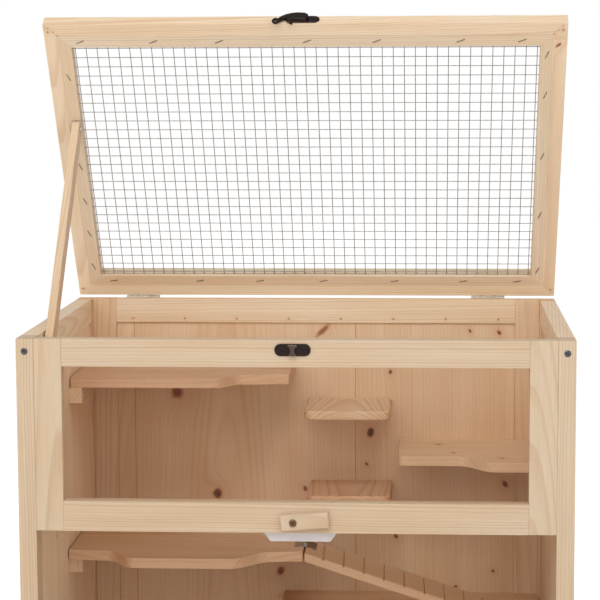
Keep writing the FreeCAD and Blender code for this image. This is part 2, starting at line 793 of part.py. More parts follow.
def latch_hook():
    """A flat hook: a hub on the rivet, an arm, a mouth open below, and a knob beyond it."""
    back = FRONT - PLATE_T - HOOK_GAP
    front = back - HOOK_T
    x, z = LATCH_PIVOT.x, LATCH_PIVOT.z
    ring_x = x - HOOK_REACH

    def disc(radius, at_x, at_z):
        return rod(radius, Vector(at_x, back, at_z), Vector(at_x, front, at_z))

    half = HOOK_ARM_W / 2
    knob_x = ring_x - HOOK_KNOB_OUT
    knob_z = z - HOOK_KNOB_DROP
    neck = HOOK_NECK_W / 2
    claw_x = ring_x + HOOK_RING_R
    hook = disc(HOOK_HUB_R, x, z).fuse(
        [
            block(ring_x, x, front, back, z - half, z + half),
            disc(HOOK_RING_R, ring_x, z),
            block(claw_x - HOOK_CLAW, claw_x, front, back, z - HOOK_RING_R - HOOK_CLAW, z),
            block(knob_x, ring_x, front, back, z, z + half),
            disc(half, knob_x + neck, z),
            block(knob_x - neck, knob_x + neck, front, back, knob_z, z),
            disc(HOOK_KNOB_R, knob_x, knob_z),
        ]
    )
    mouth = disc(HOOK_MOUTH_R, ring_x, z).fuse(
        block(
            ring_x - HOOK_MOUTH_R, ring_x + HOOK_MOUTH_R, front, back, z - 2 * HOOK_RING_R, z
        )
    )
    return hook.cut([mouth, disc(RIVET_R + PIN_PLAY, x, z)]).removeSplitter()


def lid():
    parts = lid_bars()
    parts["lid_battens"] = lid_battens()
    parts["lid_mesh"] = lid_mesh()
    parts["lid_staples"] = group(staples())
    parts["lid_hinge_moving_leaves"] = group(at_lid_hinges(moving_leaf(LID_HINGE_L)))
    parts["latch_plate"] = latch_plate()
    parts["latch_hook"] = latch_hook()
    parts["prop_bracket"] = prop_bracket()
    parts = {name: opened(shape) for name, shape in parts.items()}
    parts["prop_stick"] = prop_stick()
    return parts


def hutch():
    parts = cabinet_frame()
    parts.update(cabinet_back())
    parts.update(shelves(parts))
    parts.update(window())
    parts["front_sill"] = block(-IN_X, IN_X, FRONT, FRONT + BAR_T, 0, SILL_TOP)
    parts["floor_board"] = block(-IN_X, IN_X, FRONT + BAR_T, BACK - BAR_T, 0, FLOOR_T)
    parts["door_stop_tab"] = door_stop_tab()
    parts["turn_button"] = turn_button()
    parts["turn_button_screw"] = button_screw()
    parts["catch_plate"] = catch_plate()
    parts.update(fixed_hinge_leaves())
    parts.update(ramps())
    parts.update(door())
    parts.update(lid())
    return parts


def main():
    os.makedirs("parts", exist_ok=True)
    parts = hutch()
    for name, shape in sorted(parts.items()):
        solids = shape.Solids
        whole = solids[0] if len(solids) == 1 else group(solids)
        whole.exportStep(os.path.join("parts", name + ".step"))
        print(name, len(solids), "solids", "valid" if whole.isValid() else "NOT VALID")
    for name, point in (
        ("lid_pin", LID_PIN),
        ("door_pin", DOOR_PIN),
        ("upper_pin", UPPER_PIN),
        ("lower_pin", LOWER_PIN),
        ("prop_pivot", turned(Part.Vertex(PROP_PIVOT), LID_PIN, X_AXIS, -LID_OPEN).Point),
        ("latch_pivot", turned(Part.Vertex(LATCH_PIVOT), LID_PIN, X_AXIS, -LID_OPEN).Point),
    ):
        print(name, round(point.x, 3), round(point.y, 3), round(point.z, 3))


main()
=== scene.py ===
import json
import math
import random

import bmesh
import bpy
from mathutils import Matrix, Vector


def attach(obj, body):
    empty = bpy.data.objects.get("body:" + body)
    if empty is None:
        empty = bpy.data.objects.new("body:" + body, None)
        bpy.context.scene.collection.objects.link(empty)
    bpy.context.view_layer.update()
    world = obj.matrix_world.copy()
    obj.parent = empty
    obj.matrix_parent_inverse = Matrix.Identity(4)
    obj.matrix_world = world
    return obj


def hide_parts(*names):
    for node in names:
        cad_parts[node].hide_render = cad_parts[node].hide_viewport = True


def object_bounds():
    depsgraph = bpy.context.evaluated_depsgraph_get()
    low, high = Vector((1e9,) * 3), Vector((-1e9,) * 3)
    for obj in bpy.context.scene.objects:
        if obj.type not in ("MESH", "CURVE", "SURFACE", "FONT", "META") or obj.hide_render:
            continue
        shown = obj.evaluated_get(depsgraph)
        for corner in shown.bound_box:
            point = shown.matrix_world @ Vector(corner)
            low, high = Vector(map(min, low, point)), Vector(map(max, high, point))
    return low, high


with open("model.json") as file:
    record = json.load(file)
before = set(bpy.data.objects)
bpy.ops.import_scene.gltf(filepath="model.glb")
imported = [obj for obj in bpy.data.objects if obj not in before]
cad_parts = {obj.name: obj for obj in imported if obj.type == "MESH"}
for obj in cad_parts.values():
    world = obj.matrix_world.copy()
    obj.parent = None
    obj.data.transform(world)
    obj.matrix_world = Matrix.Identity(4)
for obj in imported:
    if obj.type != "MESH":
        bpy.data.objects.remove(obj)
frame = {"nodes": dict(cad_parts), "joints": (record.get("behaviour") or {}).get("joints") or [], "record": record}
cad_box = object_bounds()
NODES = frame["nodes"]
BODIES = frame["record"]["behaviour"]["bodies"]
BODY_OF = {node: body for body, nodes in BODIES.items() for node in nodes}
SLOT_OF = {part["node"]: part["material_slot"] for part in frame["record"]["subparts"]}
PIVOT = {joint["child"]: Vector(joint["pos_m"]) for joint in frame["joints"]}
MM = 0.001

# How each body rests, turned about its joint from the place where it was laid out square
LID_OPEN = -57.0
REST_TURN = {
    "lid": ("X", LID_OPEN),
    "prop": ("X", -39.4),
    "door": ("X", 95.0),
    "ramp_up": ("Y", 18.07),
    "ramp_down": ("Y", -46.78),
    "button": ("Y", -4.7),
}


def rest_matrix(body):
    """From the square layout of a body to where it rests."""
    if body not in REST_TURN:
        return Matrix.Identity(4)
    axis, degrees = REST_TURN[body]
    centre = Matrix.Translation(PIVOT[body])
    return centre @ Matrix.Rotation(math.radians(degrees), 4, axis) @ centre.inverted()


# Node trees

class Tree:
    """Short ways to add nodes to a material or a group."""

    def __init__(self, tree):
        self.tree = tree
        self.at = 0

    def add(self, kind, **settings):
        node = self.tree.nodes.new(kind)
        node.location = (self.at * 180, 0)
        self.at += 1
        for key, value in settings.items():
            setattr(node, key, value)
        return node

    def put(self, socket, value):
        if isinstance(value, bpy.types.NodeSocket):
            self.tree.links.new(value, socket)
        elif value is not None:
            socket.default_value = value

    def math(self, operation, a, b=None, c=None):
        node = self.add("ShaderNodeMath", operation=operation)
        for socket, value in zip(node.inputs, (a, b, c)):
            self.put(socket, value)
        return node.outputs[0]

    def vector(self, operation, a, b=None):
        node = self.add("ShaderNodeVectorMath", operation=operation)
        self.put(node.inputs[0], a)
        if operation == "SCALE":
            self.put(node.inputs["Scale"], b)
        else:
            self.put(node.inputs[1], b)
        return node.outputs["Value" if operation == "LENGTH" else "Vector"]

    def split(self, vector):
        node = self.add("ShaderNodeSeparateXYZ")
        self.put(node.inputs[0], vector)
        return node.outputs

    def join(self, x, y, z):
        node = self.add("ShaderNodeCombineXYZ")
        for socket, value in zip(node.inputs, (x, y, z)):
            self.put(socket, value)
        return node.outputs[0]

    def noise(self, vector, detail=2.0, rough=0.5):
        """A noise from 0 to 1 with a scale of 1, so the vector carries the size."""
        node = self.add("ShaderNodeTexNoise")
        self.put(node.inputs["Vector"], vector)
        node.inputs["Scale"].default_value = 1.0
        node.inputs["Detail"].default_value = detail
        node.inputs["Roughness"].default_value = rough
        return node.outputs["Fac"]

    def step(self, value, low, high, out_low=0.0, out_high=1.0):
        """A smooth ramp from out_low at low to out_high at high."""
        node = self.add("ShaderNodeMapRange", interpolation_type="SMOOTHSTEP")
        for socket, item in zip(node.inputs, (value, low, high, out_low, out_high)):
            self.put(socket, item)
        return node.outputs[0]

    def mix(self, factor, a, b, blend="MIX"):
        node = self.add("ShaderNodeMix", data_type="RGBA", blend_type=blend)
        node.clamp_factor = True
        self.put(node.inputs[0], factor)
        self.put(node.inputs[6], a)
        self.put(node.inputs[7], b)
        return node.outputs[2]

    def group(self, tree, **values):
        node = self.add("ShaderNodeGroup", node_tree=tree)
        for key, value in values.items():
            self.put(node.inputs[key.replace("_", " ")], value)
        return node.outputs


def rgb(r, g, b):
    """A colour given as it looks on a screen, 0 to 255."""
    def linear(c):
        c /= 255.0
        return c / 12.92 if c <= 0.04045 else ((c + 0.055) / 1.055) ** 2.4
    return (linear(r), linear(g), linear(b), 1.0)


def new_group(name, inputs, outputs):
    tree = bpy.data.node_groups.new(name, "ShaderNodeTree")
    for title, kind, default in inputs:
        socket = tree.interface.new_socket(title, in_out="INPUT", socket_type=kind)
        socket.default_value = default
    for title, kind in outputs:
        tree.interface.new_socket(title, in_out="OUTPUT", socket_type=kind)
    t = Tree(tree)
    return t, t.add("NodeGroupInput").outputs, t.add("NodeGroupOutput").inputs


FLOAT, VECTOR, COLOUR = "NodeSocketFloat", "NodeSocketVector", "NodeSocketColor"


def knot_group():
    """Adds one knot to a board: how dark it is, its halo, and how far it pushes the rings aside."""
    t, i, o = new_group(
        "knot",
        [
            ("Point", VECTOR, (0, 0, 0)),
            ("Centre", VECTOR, (0, 0, 0)),
            ("Radius", FLOAT, 4.0),
            ("Stretch", FLOAT, 1.3),
            ("Lean", FLOAT, 0.0),
            ("Strength", FLOAT, 1.0),
            ("Core in", FLOAT, 0.0),
            ("Halo in", FLOAT, 0.0),
            ("Push in", FLOAT, 0.0),
        ],
        [("Core", FLOAT), ("Halo", FLOAT), ("Push", FLOAT)],
    )
    off = t.split(t.vector("SUBTRACT", i["Point"], i["Centre"]))
    across = t.math("MULTIPLY_ADD", off[0], i["Lean"], off[1])
    along = t.math("DIVIDE", off[0], i["Stretch"])
    flat = t.join(along, across, 0.0)
    ragged = t.noise(t.vector("SCALE", i["Point"], 0.35), 3.0, 0.6)
    distance = t.math("DIVIDE", t.vector("LENGTH", flat), i["Radius"])
    distance = t.math("MULTIPLY_ADD", t.math("SUBTRACT", ragged, 0.5), 0.55, distance)
    core = t.math("MULTIPLY", t.step(distance, 1.05, 0.25), i["Strength"])
    halo = t.math("EXPONENT", t.math("MULTIPLY", t.math("POWER", distance, 2.0), -0.22))
    halo = t.math("MULTIPLY", halo, i["Strength"])
    push = t.math("MULTIPLY", t.math("MULTIPLY", halo, i["Radius"]), 1.5)
    t.put(o["Core"], t.math("MAXIMUM", i["Core in"], core))
    t.put(o["Halo"], t.math("MAXIMUM", i["Halo in"], halo))
    t.put(o["Push"], t.math("ADD", i["Push in"], push))
    return t.tree


def pine_group():
    """Plain-sawn pine. Point is in millimetres: X along the grain, Y across the face, Z through it."""
    t, i, o = new_group(
        "pine",
        [
            ("Point", VECTOR, (0, 0, 0)),
            ("Seed", VECTOR, (0, 0, 0)),
            ("Pith Y", FLOAT, 10.0),
            ("Pith Z", FLOAT, -40.0),
            ("Taper", FLOAT, 0.05),
            ("Pitch", FLOAT, 4.2),
            ("Wave", FLOAT, 6.0),
            ("Rings", FLOAT, 0.3),
            ("Fibres", FLOAT, 0.24),
            ("Light", COLOUR, rgb(226, 198, 166)),
            ("Warm", COLOUR, rgb(221, 188, 151)),
            ("Late", COLOUR, rgb(186, 134, 88)),
            ("Core", FLOAT, 0.0),
            ("Halo", FLOAT, 0.0),
            ("Push", FLOAT, 0.0),
        ],
        [("Color", COLOUR), ("Roughness", FLOAT), ("Height", FLOAT)],
    )
    place = t.vector("ADD", i["Point"], i["Seed"])

    def sized(x, y):
        return t.vector("MULTIPLY", place, (1 / x, 1 / y, 1 / y))

    x, y, z = t.split(i["Point"])
    slow = t.math("SUBTRACT", t.noise(sized(190.0, 70.0), 1.0), 0.5)
    quick = t.math("SUBTRACT", t.noise(sized(38.0, 11.0), 2.0), 0.5)
    y = t.math("MULTIPLY_ADD", slow, i["Wave"], y)
    y = t.math("MULTIPLY_ADD", quick, 1.3, y)
    from_y = t.math("SUBTRACT", y, i["Pith Y"])
    from_z = t.math("SUBTRACT", t.math("MULTIPLY_ADD", x, i["Taper"], z), i["Pith Z"])
    squares = t.math("MULTIPLY", from_z, from_z)
    squares = t.math("MULTIPLY_ADD", from_y, from_y, squares)
    radius = t.math("ADD", t.math("SQRT", squares), i["Push"])
    uneven = t.noise(t.join(t.math("MULTIPLY", radius, 0.13), t.split(i["Seed"])[0], 0.0), 1.0)
    radius = t.math("MULTIPLY_ADD", uneven, 7.0, radius)
    turn = t.math("DIVIDE", radius, i["Pitch"])
    part = t.math("FRACT", turn)
    late = t.math("MULTIPLY", t.step(part, 0.42, 0.9), t.step(part, 1.0, 0.93))
    each = t.add("ShaderNodeTexWhiteNoise", noise_dimensions="1D")
    t.put(each.inputs["W"], t.math("FLOOR", turn))
    late = t.math("MULTIPLY", late, t.step(each.outputs["Value"], -0.4, 1.0, 0.25, 1.0))
    late = t.math("MULTIPLY", late, i["Rings"])
    fibre = t.noise(sized(26.0, 0.7), 3.0, 0.65)
    streak = t.noise(sized(140.0, 3.2), 2.0, 0.5)
    patch = t.noise(sized(230.0, 34.0), 2.0, 0.5)
    fleck = t.step(t.noise(sized(5.0, 0.42), 2.0, 0.6), 0.66, 0.76)
    colour = t.mix(t.step(patch, 0.3, 0.7), i["Light"], i["Warm"])
    colour = t.mix(late, colour, i["Late"])
    shade = t.math("MULTIPLY", t.math("SUBTRACT", fibre, 0.5), i["Fibres"])
    centred = t.math("SUBTRACT", streak, 0.5)
    depth = t.math("MULTIPLY", i["Fibres"], 0.5)
    shade = t.math("MULTIPLY_ADD", centred, depth, shade)
    shade = t.math("MULTIPLY_ADD", fleck, t.math("MULTIPLY", i["Fibres"], -0.22), shade)
    bright = t.math("ADD", shade, 1.0)
    colour = t.mix(1.0, colour, t.join(bright, bright, bright), "MULTIPLY")
    colour = t.mix(t.math("MULTIPLY", i["Halo"], 0.36), colour, rgb(190, 124, 80))
    heart = t.mix(t.step(i["Core"], 0.3, 0.85), rgb(166, 96, 58), rgb(74, 38, 28))
    colour = t.mix(t.step(i["Core"], 0.0, 0.55, 0.0, 0.92), colour, heart)
    t.put(o["Color"], colour)
    t.put(o["Roughness"], t.math("MULTIPLY_ADD", fibre, 0.16, 0.5))
    height = t.math("MULTIPLY_ADD", late, 0.5, fibre)
    t.put(o["Height"], t.math("MULTIPLY_ADD", i["Core"], 0.8, height))
    return t.tree


KNOT = knot_group()
PINE = pine_group()


def new_material(name):
    material = bpy.data.materials.new(name)
    material.use_nodes = True
    t = Tree(material.node_tree)
    for node in list(material.node_tree.nodes):
        material.node_tree.nodes.remove(node)
    shader = t.add("ShaderNodeBsdfPrincipled")
    output = t.add("ShaderNodeOutputMaterial")
    t.put(output.inputs["Surface"], shader.outputs[0])
    return material, t, shader


def bump(t, shader, height, distance, strength=0.5):
    node = t.add("ShaderNodeBump")
    node.inputs["Distance"].default_value = distance
    node.inputs["Strength"].default_value = strength
    t.put(node.inputs["Height"], height)
    t.put(shader.inputs["Normal"], node.outputs[0])


def pine(name, seed, knots=(), joints=(), tone_and_painted_light=(1.0, 1.0, 1.0), **values):
    """A pine material for one piece. knots are (along, across, radius, stretch, lean, strength) in
    millimetres from the piece's middle, joints are places across it where two boards are glued,
    and tone_and_painted_light makes the piece redder, paler or darker than the next one, partly as its own tone
    and partly as painted light and shade."""
    material, t, shader = new_material(name)
    point = t.vector("SCALE", t.add("ShaderNodeTexCoord").outputs["Object"], 1000.0)
    rng = random.Random(seed)
    offset = Vector([rng.uniform(-4000, 4000) for _ in range(3)])
    values.setdefault("Pith_Y", rng.uniform(-20, 20))
    values.setdefault("Pith_Z", -rng.uniform(25, 60))
    values.setdefault("Taper", rng.uniform(-0.07, 0.07))
    shift = offset
    glue = None
    if joints:
        across = t.split(point)[1]
        wander = t.noise(t.vector("SCALE", point, 0.01), 1.0)
        count = 0.0
        for place in joints:
            edge = t.math("MULTIPLY_ADD", wander, 0.6, place - 0.3)
            past = t.math("GREATER_THAN", across, edge)
            count = t.math("ADD", count, past)
            gap = t.step(t.math("ABSOLUTE", t.math("SUBTRACT", across, edge)), 0.75, 0.1)
            glue = gap if glue is None else t.math("MAXIMUM", glue, gap)
        shift = t.vector("ADD", offset, t.vector("SCALE", (371.0, 217.0, 133.0), count))
        pith = t.math("MULTIPLY_ADD", count, 113.0, values["Pith_Y"])
        values["Pith_Y"] = pith
    core = halo = push = 0.0
    for along, across_at, radius, stretch, lean, strength in knots:
        out = t.group(
            KNOT,
            Point=point,
            Centre=(along, across_at, 0.0),
            Radius=radius,
            Stretch=stretch,
            Lean=lean,
            Strength=strength,
            Core_in=core,
            Halo_in=halo,
            Push_in=push,
        )
        core, halo, push = out["Core"], out["Halo"], out["Push"]
    out = t.group(PINE, Point=point, Seed=shift, Core=core, Halo=halo, Push=push, **values)
    colour = out["Color"]
    if glue is not None:
        colour = t.mix(t.math("MULTIPLY", glue, 0.6), colour, rgb(120, 80, 52))
    # The piece's colour shift: partly its own tone, partly painted light and shade
    colour = t.mix(1.0, colour, (*tone_and_painted_light, 1.0), "MULTIPLY")
    t.put(shader.inputs["Base Color"], colour)
    t.put(shader.inputs["Roughness"], out["Roughness"])
    shader.inputs["Specular IOR Level"].default_value = 0.3
    bump(t, shader, out["Height"], 0.00012)
    return material


# Wooden pieces

AXES = {"x": Vector((1, 0, 0)), "y": Vector((0, 1, 0)), "z": Vector((0, 0, 1))}


def board_matrix(node, body, grain, face):
    """A board's own frame: X along the grain, Z out of its main face, its middle at the origin."""
    rest = rest_matrix(body)
    back = rest.inverted()
    points = [back @ v.co for v in NODES[node].data.vertices]
    low = Vector([min(p[k] for p in points) for k in range(3)])
    high = Vector([max(p[k] for p in points) for k in range(3)])
    x_axis = AXES[grain]
    z_axis = AXES[face[-1]] * (-1 if face[0] == "-" else 1)
    y_axis = z_axis.cross(x_axis)
    own = Matrix((x_axis, y_axis, z_axis)).transposed().to_4x4()
    own.translation = (low + high) / 2
    return rest @ own


def smooth_normals(piece, degrees=38.0):
    piece.data.shade_smooth()
    piece.data.set_sharp_from_angle(angle=math.radians(degrees))
    weighted = piece.modifiers.new("normals", "WEIGHTED_NORMAL")
    weighted.keep_sharp = True


def clean_bmesh(mesh, to_local):
    """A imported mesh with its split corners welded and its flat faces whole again."""
    bm = bmesh.new()
    bm.from_mesh(mesh)
    bmesh.ops.transform(bm, matrix=to_local, verts=bm.verts)
    bmesh.ops.remove_doubles(bm, verts=bm.verts, dist=1e-6)
    bmesh.ops.dissolve_limit(
        bm, angle_limit=math.radians(0.6), verts=bm.verts, edges=bm.edges, use_dissolve_boundaries=False
    )
    return bm


def ease_edges(bm, offset, segments=2):
    """Rounds every outward corner sharper than 30 degrees."""
    edges = [
        e
        for e in bm.edges
        if len(e.link_faces) == 2 and e.is_convex and e.calc_face_angle() > math.radians(30)
    ]
    bmesh.ops.bevel(
        bm,
        geom=edges,
        offset=offset,
        offset_type="OFFSET",
        segments=segments,
        profile=0.5,
        affect="EDGES",
        clamp_overlap=True,
    )


def place_piece(name, bm, matrix, body, node, material):
    mesh = bpy.data.meshes.new(name)
    bm.to_mesh(mesh)
    bm.free()
    piece = bpy.data.objects.new(name, mesh)
    bpy.context.scene.collection.objects.link(piece)
    piece.matrix_world = matrix
    if material:
        mesh.materials.append(material)
    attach(piece, body)
    if node:
        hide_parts(node)
    return piece


def eased(node, material, ease):
    """A CAD node's shape with its corners rounded, in a material of its own."""
    bm = clean_bmesh(NODES[node].data, Matrix.Identity(4))
    ease_edges(bm, ease)
    piece = place_piece("eased." + node, bm, Matrix.Identity(4), BODY_OF[node], node, material)
    smooth_normals(piece, 28.0)


def wooden(node, grain, face, seed, ease=0.0006, knots=(), joints=(), **values):
    """The eased, grained piece that stands for a wooden CAD node."""
    body = BODY_OF[node]
    matrix = board_matrix(node, body, grain, face)
    bm = clean_bmesh(NODES[node].data, matrix.inverted())
    ease_edges(bm, ease)
    # The colour shift from the table holds painted light and shade as well as the board's tone
    material = pine("pine." + node, seed, knots, joints, TONE_AND_PAINTED_LIGHT.get(node, PLAIN), **values)
    smooth_normals(place_piece("wood." + node, bm, matrix, body, node, material))


def batten_strips(width):
    """Four mitred strips over the edge of the mesh, each with its grain along it."""
    rest = rest_matrix("lid")
    points = [rest.inverted() @ v.co for v in NODES["lid_battens"].data.vertices]
    low = Vector([min(p[k] for p in points) for k in range(3)])
    high = Vector([max(p[k] for p in points) for k in range(3)])
    half = (high - low) / 2
    middle = Matrix.Translation((low + high) / 2)
    for number in range(4):
        along, out = (half.y, half.x) if number % 2 else (half.x, half.y)
        turn = Matrix.Rotation(math.radians(90.0 * number), 4, "Z")
        own = middle @ turn @ Matrix.Translation((0.0, width / 2 - out, 0.0))
        own = own @ Matrix.Rotation(math.radians(180.0), 4, "X")
        side = width / 2
        outline = ((-along, side), (along, side), (along - width, -side), (width - along, -side))
        bm = bmesh.new()
        face = bm.faces.new([bm.verts.new((x, y, -half.z)) for x, y in outline])
        made = bmesh.ops.extrude_face_region(bm, geom=[face])["geom"]
        ahead = [v for v in made if isinstance(v, bmesh.types.BMVert)]
        bmesh.ops.translate(bm, verts=ahead, vec=(0.0, 0.0, 2 * half.z))
        bmesh.ops.recalc_face_normals(bm, faces=bm.faces)
        ease_edges(bm, 0.0002)
        name = "lid_battens_" + str(number)
        # The battens are made paler, partly as painted light
        material = pine("pine." + name, 61 + number, tone_and_painted_light=LIGHT, **STRAIGHT)
        smooth_normals(place_piece("wood." + name, bm, rest @ own, "lid", "lid_battens", material))


# Colour shifts for the pieces, as shares of red, green and blue, and which pieces have them: partly each board's
# own tone, partly painted light and shade

PALEST = (1.2, 1.4, 1.6)
PALE = (1.2, 1.3, 1.4)
LIGHT = (1.1, 1.2, 1.3)
PLAIN = (1.0, 1.0, 1.0)
GREYER = (0.9, 0.95, 1.0)
WARM = (0.9, 0.8, 0.75)
# Painted light and shade: the lid, left wall and top rails are made paler for light they lack, the fronts greyer
# and darker for light they get too much of, and the inner shelves, ramp, lower step and floor darker and warmer as
# painted shade
TONES_AND_PAINTED_LIGHT = (
    (PALEST, "lid_rear_rail"),
    (PALE, "lid_stile_left lid_stile_right lid_front_rail side_board_left"),
    (PALE, "side_top_rail_left side_top_rail_right"),
    (LIGHT, "back_top_rail"),
    (GREYER, "post_front_left post_front_right window_stile_left window_stile_right"),
    (GREYER, "window_top_rail window_bottom_rail door_stile_left door_stile_right turn_button"),
    (WARM, "shelf_upper_left shelf_middle_left shelf_lower_right step_lower upper_ramp floor_board"),
)
TONE_AND_PAINTED_LIGHT = {name: shade for shade, names in TONES_AND_PAINTED_LIGHT for name in names.split()}

# Knots and brad holes: along the grain, across it, radius, stretch, lean, strength


def scattered(seed, count, reach_along, reach_across, smallest, largest):
    """Small knots strewn over a board, in millimetres from its middle."""
    rng = random.Random(seed)
    knots = []
    for _ in range(count):
        along = rng.uniform(-reach_along, reach_along)
        across = rng.uniform(-reach_across, reach_across)
        radius = rng.uniform(smallest, largest)
        knots.append((along, across, radius, rng.uniform(1.0, 1.5), rng.uniform(-0.5, 0.5), 0.65))
    return tuple(knots)


def brad_row(count, reach, across):
    """Brad holes spaced evenly along a bar."""
    gap = 2 * reach / (count - 1)
    return tuple((k * gap - reach, across, 1.2, 1.0, 0.0, 0.8) for k in range(count))


# The back board's few large knots, then the small ones strewn between them
LARGE_KNOTS = (
    (160, 175, 11, 1.0, 0.0, 0.6),
    (30, 125, 8, 1.1, 0.0, 0.8),
    (-70, 45, 7, 1.2, 0.2, 0.6),
    (240, -10, 7, 1.8, 0.9, 0.5),
    (110, -70, 6, 1.4, 0.1, 0.9),
    (45, -240, 5, 1.3, -0.3, 0.7),
)
BACK_KNOTS = LARGE_KNOTS + scattered(7, 16, 250, 255, 1.6, 4.0)
BACK_BRADS = brad_row(8, 230, -10)
LID_BRADS = tuple((side * (300 - d), 15 - d, 1.3, 1.0, 0.0, 1.0) for side in (-1, 1) for d in (5, 10, 15))
STILE_BRADS = tuple((side * 190, 10, 1.3, 1.0, 0.0, 1.0) for side in (-1, 1))
LID_STILE_KNOTS = {
    "left": tuple((along, -across, *rest) for along, across, *rest in STILE_BRADS),
    "right": STILE_BRADS + ((-170, 5, 3.5, 1.4, 0.7, 0.6),),
}
WALL_KNOTS = {"left": scattered(11, 3, 200, 120, 1.5, 2.5), "right": scattered(12, 3, 200, 120, 1.5, 3.0)}
SHELF_KNOTS = {
    "upper_left": scattered(13, 1, 80, 20, 2.0, 2.5),
    "middle_left": scattered(14, 3, 60, 60, 2.0, 2.5),
    "middle_right": scattered(15, 3, 40, 50, 2.0, 4.5),
}

STRAIGHT = {"Pith_Y": 95.0, "Pitch": 2.7, "Wave": 3.0, "Rings": 0.42}

batten_strips(0.015)
wooden("post_front_left", "z", "-y", 11, **STRAIGHT)
wooden("post_front_right", "z", "-y", 12, **STRAIGHT)
wooden("post_rear_left", "z", "y", 13)
wooden("post_rear_right", "z", "y", 14)
for side, seed in (("left", 20), ("right", 30)):
    face = "-x" if side == "left" else "x"
    wooden("side_top_rail_" + side, "y", face, seed + 1)
    wooden("side_bottom_rail_" + side, "y", face, seed + 2)
    wooden("side_board_" + side, "z", face, seed + 3, joints=(-62.0, 48.0), knots=WALL_KNOTS[side])
    wooden("back_stile_" + side, "z", "y", seed + 4)
    wooden("window_stile_" + side, "z", "-y", seed + 5)
    wooden("door_stile_" + side, "z", "-y", seed + 6)
    wooden("lid_stile_" + side, "y", "-z", seed + 7, ease=0.0002, knots=LID_STILE_KNOTS[side])
wooden("back_top_rail", "x", "-y", 41, knots=BACK_BRADS, **STRAIGHT)
wooden("back_bottom_rail", "x", "-y", 42)
wooden("back_board", "z", "-y", 43, joints=(-51.0, 229.0), knots=BACK_KNOTS, Rings=0.2, Fibres=0.16)
wooden("floor_board", "x", "z", 44, joints=(-90.0, 10.0, 110.0))
wooden("front_sill", "x", "-y", 45)
wooden("window_top_rail", "x", "-y", 46, **STRAIGHT)
wooden("window_bottom_rail", "x", "-y", 47, **STRAIGHT)
wooden("door_top_rail", "x", "-y", 48)
wooden("door_bottom_rail", "x", "-y", 49)
wooden("lid_front_rail", "x", "-z", 50, ease=0.0002, knots=LID_BRADS, **STRAIGHT)
wooden("lid_rear_rail", "x", "-z", 51, ease=0.0002, **STRAIGHT)
wooden("shelf_upper_left", "x", "z", 52, ease=0.0012, knots=SHELF_KNOTS["upper_left"])
wooden("shelf_middle_left", "x", "z", 53, ease=0.0012, knots=SHELF_KNOTS["middle_left"])
wooden("shelf_middle_right", "x", "z", 54, ease=0.0015, knots=SHELF_KNOTS["middle_right"])
wooden("shelf_lower_right", "x", "z", 55, ease=0.0012)
wooden("step_upper", "y", "z", 56, ease=0.0025, Rings=0.5)
wooden("step_lower", "y", "z", 57, ease=0.0025, Rings=0.5)
wooden("upper_ramp", "x", "z", 58, ease=0.0003)
wooden("lower_ramp", "x", "z", 59, ease=0.0003)
wooden("shelf_cleats", "y", "z", 60)
wooden("prop_stick", "z", "-x", 62)
wooden("turn_button", "x", "-y", 63)


# Other materials, on the CAD pieces themselves

def metal(name, colour, rough, metallic=1.0):
    material, t, shader = new_material(name)
    point = t.vector("SCALE", t.add("ShaderNodeTexCoord").outputs["Object"], 1000.0)
    cloud = t.noise(t.vector("SCALE", point, 0.35), 4.0, 0.6)
    fine = t.noise(t.vector("SCALE", point, 3.0), 2.0, 0.6)
    darker = tuple(c * 0.72 for c in colour[:3]) + (1.0,)
    shade = t.mix(t.step(cloud, 0.35, 0.65), colour, darker)
    t.put(shader.inputs["Base Color"], shade)
    t.put(shader.inputs["Roughness"], t.math("MULTIPLY_ADD", cloud, 0.22, rough - 0.11))
    shader.inputs["Metallic"].default_value = metallic
    bump(t, shader, fine, 0.00004)
    return material


def acrylic(name):
    """A thin clear sheet: what is behind it, with a faint gloss and a trace of haze."""
    material, t, shader = new_material(name)
    t.tree.nodes.remove(shader)
    output = t.tree.nodes[0]
    clear = t.add("ShaderNodeBsdfTransparent")
    clear.inputs["Color"].default_value = (0.985, 0.958, 0.942, 1.0)
    gloss = t.add("ShaderNodeBsdfGlossy")
    gloss.inputs["Color"].default_value = (0.95, 0.95, 0.95, 1.0)
    point = t.vector("SCALE", t.add("ShaderNodeTexCoord").outputs["Object"], 1000.0)
    smear = t.noise(t.vector("MULTIPLY", point, (0.02, 0.02, 0.012)), 3.0, 0.6)
    t.put(gloss.inputs["Roughness"], t.step(smear, 0.35, 0.75, 0.02, 0.12))
    fresnel = t.add("ShaderNodeFresnel")
    fresnel.inputs["IOR"].default_value = 1.4
    blend = t.add("ShaderNodeMixShader")
    t.put(blend.inputs[0], t.math("MULTIPLY", fresnel.outputs[0], 0.2))
    t.put(blend.inputs[1], clear.outputs[0])
    t.put(blend.inputs[2], gloss.outputs[0])
    t.put(output.inputs["Surface"], blend.outputs[0])
    return material


def plastic(name, colour):
    material, t, shader = new_material(name)
    point = t.vector("SCALE", t.add("ShaderNodeTexCoord").outputs["Object"], 1000.0)
    cloud = t.noise(t.vector("SCALE", point, 0.05), 3.0, 0.5)
    grain = t.noise(t.vector("SCALE", point, 1.6), 2.0, 0.5)
    dusty = tuple(c * 0.93 for c in colour[:3]) + (1.0,)
    t.put(shader.inputs["Base Color"], t.mix(t.step(cloud, 0.35, 0.7), colour, dusty))
    t.put(shader.inputs["Roughness"], t.math("MULTIPLY_ADD", cloud, 0.2, 0.28))
    bump(t, shader, grain, 0.00003)
    return material


